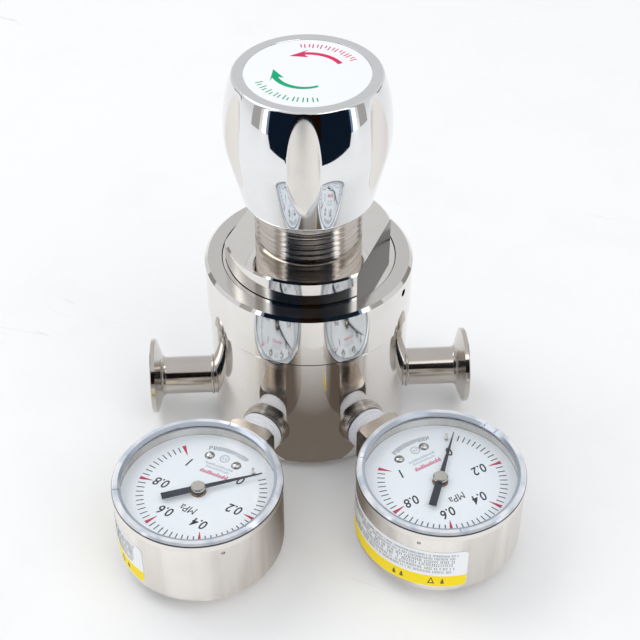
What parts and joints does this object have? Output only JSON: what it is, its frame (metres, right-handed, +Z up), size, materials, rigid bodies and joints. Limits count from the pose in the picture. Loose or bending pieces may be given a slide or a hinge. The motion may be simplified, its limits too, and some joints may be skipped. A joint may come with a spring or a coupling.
{
  "type": "pressure reducing valve",
  "caption": "Sanitary stainless pressure reducing valve with clamp ferrules, a scalloped adjusting knob on a threaded neck, and face-up dial gauges on radial stems.",
  "frame": {"origin": "on the valve's vertical axis at the underside of its foot", "axes": "+Z up along the knob's axis, -X out of the inlet ferrule, +X out of the outlet ferrule, -Y towards the gauges"},
  "size_m": [0.1242, 0.1221, 0.1313],
  "materials": {
    "polished_steel": "mirror-polished stainless steel",
    "satin_steel": "satin stainless steel",
    "brass_works": "bright brass and bronze",
    "black_rubber": "moulded elastomer",
    "grey_rubber": "grey moulded elastomer",
    "white_ptfe": "matt white fluoropolymer",
    "white_label": null,
    "white_dial": "white enamel with a printed scale",
    "dark_pointer": "satin blue-black enamel",
    "clear_glass": "clear flat glass"
  },
  "bodies": {
    "valve": {"body": "polished_steel", "upper_housing": "polished_steel", "bonnet": "polished_steel", "inlet_ferrule": "polished_steel", "outlet_ferrule": "polished_steel", "inlet_gauge_boss": "satin_steel", "outlet_gauge_boss": "satin_steel", "bottom_plug": "polished_steel", "plug_oring": "black_rubber", "seat_insert": "white_ptfe", "diaphragm_oring": "black_rubber", "diaphragm": "brass_works", "clamp_ring": "satin_steel", "poppet_spring": "satin_steel", "range_spring": "satin_steel", "inlet_gauge_case": "satin_steel", "inlet_gauge_bezel": "polished_steel", "inlet_gauge_window": "clear_glass", "inlet_gauge_gasket": "grey_rubber", "inlet_gauge_dial": "white_dial", "inlet_gauge_dial_screws": "polished_steel", "inlet_gauge_stop_pin": "polished_steel", "inlet_gauge_movement": "brass_works", "inlet_gauge_bourdon": "brass_works", "inlet_gauge_stem": "satin_steel", "inlet_gauge_tape": "white_ptfe", "inlet_gauge_sticker": "white_label", "outlet_gauge_case": "satin_steel", "outlet_gauge_bezel": "polished_steel", "outlet_gauge_window": "clear_glass", "outlet_gauge_gasket": "grey_rubber", "outlet_gauge_dial": "white_dial", "outlet_gauge_dial_screws": "polished_steel", "outlet_gauge_stop_pin": "polished_steel", "outlet_gauge_movement": "brass_works", "outlet_gauge_bourdon": "brass_works", "outlet_gauge_stem": "satin_steel", "outlet_gauge_tape": "white_ptfe", "outlet_gauge_sticker": "white_label"},
    "adjuster": {"spring_button": "satin_steel", "thrust_ball": "polished_steel"},
    "knob": {"knob": "polished_steel", "knob_pusher": "satin_steel", "knob_label": "white_label"},
    "diaphragm_plate": {"diaphragm_plate": "satin_steel"},
    "poppet": {"poppet": "satin_steel"},
    "inlet_pointer": {"inlet_gauge_pointer": "dark_pointer", "inlet_gauge_arbor": "brass_works"},
    "inlet_sector": {"inlet_gauge_sector": "brass_works"},
    "inlet_link": {"inlet_gauge_link": "satin_steel"},
    "outlet_pointer": {"outlet_gauge_pointer": "dark_pointer", "outlet_gauge_arbor": "brass_works"},
    "outlet_sector": {"outlet_gauge_sector": "brass_works"},
    "outlet_link": {"outlet_gauge_link": "satin_steel"}
  },
  "joints": [
    {"name": "adjuster_travel", "type": "slide", "parent": "valve", "child": "adjuster", "axis": [0, 0, -1], "range_m": [0, 0.012], "deforming": ["range_spring"]},
    {"name": "knob_turn", "type": "hinge", "parent": "adjuster", "child": "knob", "pos_m": [0, 0, 0.11], "axis": [0, 0, -1], "range_deg": [0, 2160]},
    {"name": "diaphragm_travel", "type": "slide", "parent": "valve", "child": "diaphragm_plate", "axis": [0, 0, -1], "range_m": [0, 0.001], "stiffness_N_per_m": 4000, "deforming": ["diaphragm"]},
    {"name": "poppet_lift", "type": "slide", "parent": "valve", "child": "poppet", "axis": [0, 0, -1], "range_m": [0, 0.0007], "deforming": ["poppet_spring"]},
    {"name": "inlet_pointer_turn", "type": "hinge", "parent": "valve", "child": "inlet_pointer", "pos_m": [-0.0365, -0.0635, 0.0275], "axis": [0, 0, -1], "range_deg": [0, 270], "stiffness_Nm_per_rad": 0.0002},
    {"name": "inlet_sector_turn", "type": "hinge", "parent": "valve", "child": "inlet_sector", "pos_m": [-0.04598, -0.0578, 0.01726], "axis": [0, 0, 1], "range_deg": [0, 54]},
    {"name": "inlet_link_travel", "type": "slide", "parent": "valve", "child": "inlet_link", "axis": [-0.515, -0.8572, 0], "range_m": [0, 0.00316]},
    {"name": "outlet_pointer_turn", "type": "hinge", "parent": "valve", "child": "outlet_pointer", "pos_m": [0.0365, -0.0635, 0.0275], "axis": [0, 0, -1], "range_deg": [0, 270], "stiffness_Nm_per_rad": 0.0002},
    {"name": "outlet_sector_turn", "type": "hinge", "parent": "valve", "child": "outlet_sector", "pos_m": [0.02702, -0.0692, 0.01726], "axis": [0, 0, 1], "range_deg": [0, 54]},
    {"name": "outlet_link_travel", "type": "slide", "parent": "valve", "child": "outlet_link", "axis": [0.515, -0.8572, 0], "range_m": [0, 0.00316]}
  ],
  "couplings": [
    {"joint": "adjuster_travel", "follows": "knob_turn", "m_per_rad": 0.00031831},
    {"joint": "poppet_lift", "follows": "diaphragm_travel", "ratio": 0.7},
    {"joint": "inlet_pointer_turn", "follows": "inlet_link_travel", "rad_per_m": 1490.8},
    {"joint": "inlet_sector_turn", "follows": "inlet_link_travel", "rad_per_m": 298.16},
    {"joint": "outlet_pointer_turn", "follows": "outlet_link_travel", "rad_per_m": 1490.8},
    {"joint": "outlet_sector_turn", "follows": "outlet_link_travel", "rad_per_m": 298.16}
  ]
}
